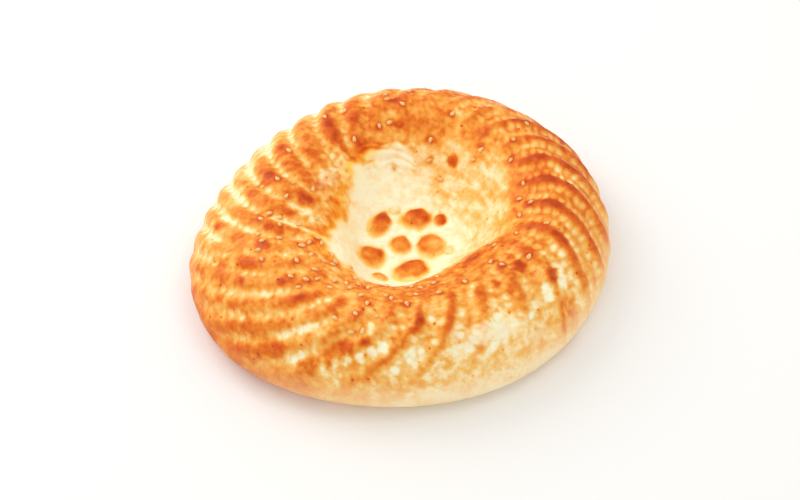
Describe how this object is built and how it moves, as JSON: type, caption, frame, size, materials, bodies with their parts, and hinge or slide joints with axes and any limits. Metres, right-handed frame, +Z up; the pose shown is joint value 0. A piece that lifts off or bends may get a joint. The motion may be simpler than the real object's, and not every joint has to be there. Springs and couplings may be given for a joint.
{
  "type": "lepyoshka flatbread",
  "caption": "Round tandoor flatbread with a thick, spirally ridged rim, a stamped and dished middle, and sesame seeds baked into the crust.",
  "frame": {"origin": "middle of the flat underside", "axes": "+Z up through the loaf's dished middle; -Y is the side that faces the eater"},
  "size_m": [0.2216, 0.2068, 0.0457],
  "materials": {
    "crust": "glazed golden-brown bread crust, darker on the ridges and pale in the furrows",
    "sesame": "toasted hulled sesame seed, smooth and slightly oily"
  },
  "bodies": {
    "root": {"lepyoshka": "crust"}
  },
  "joints": []
}
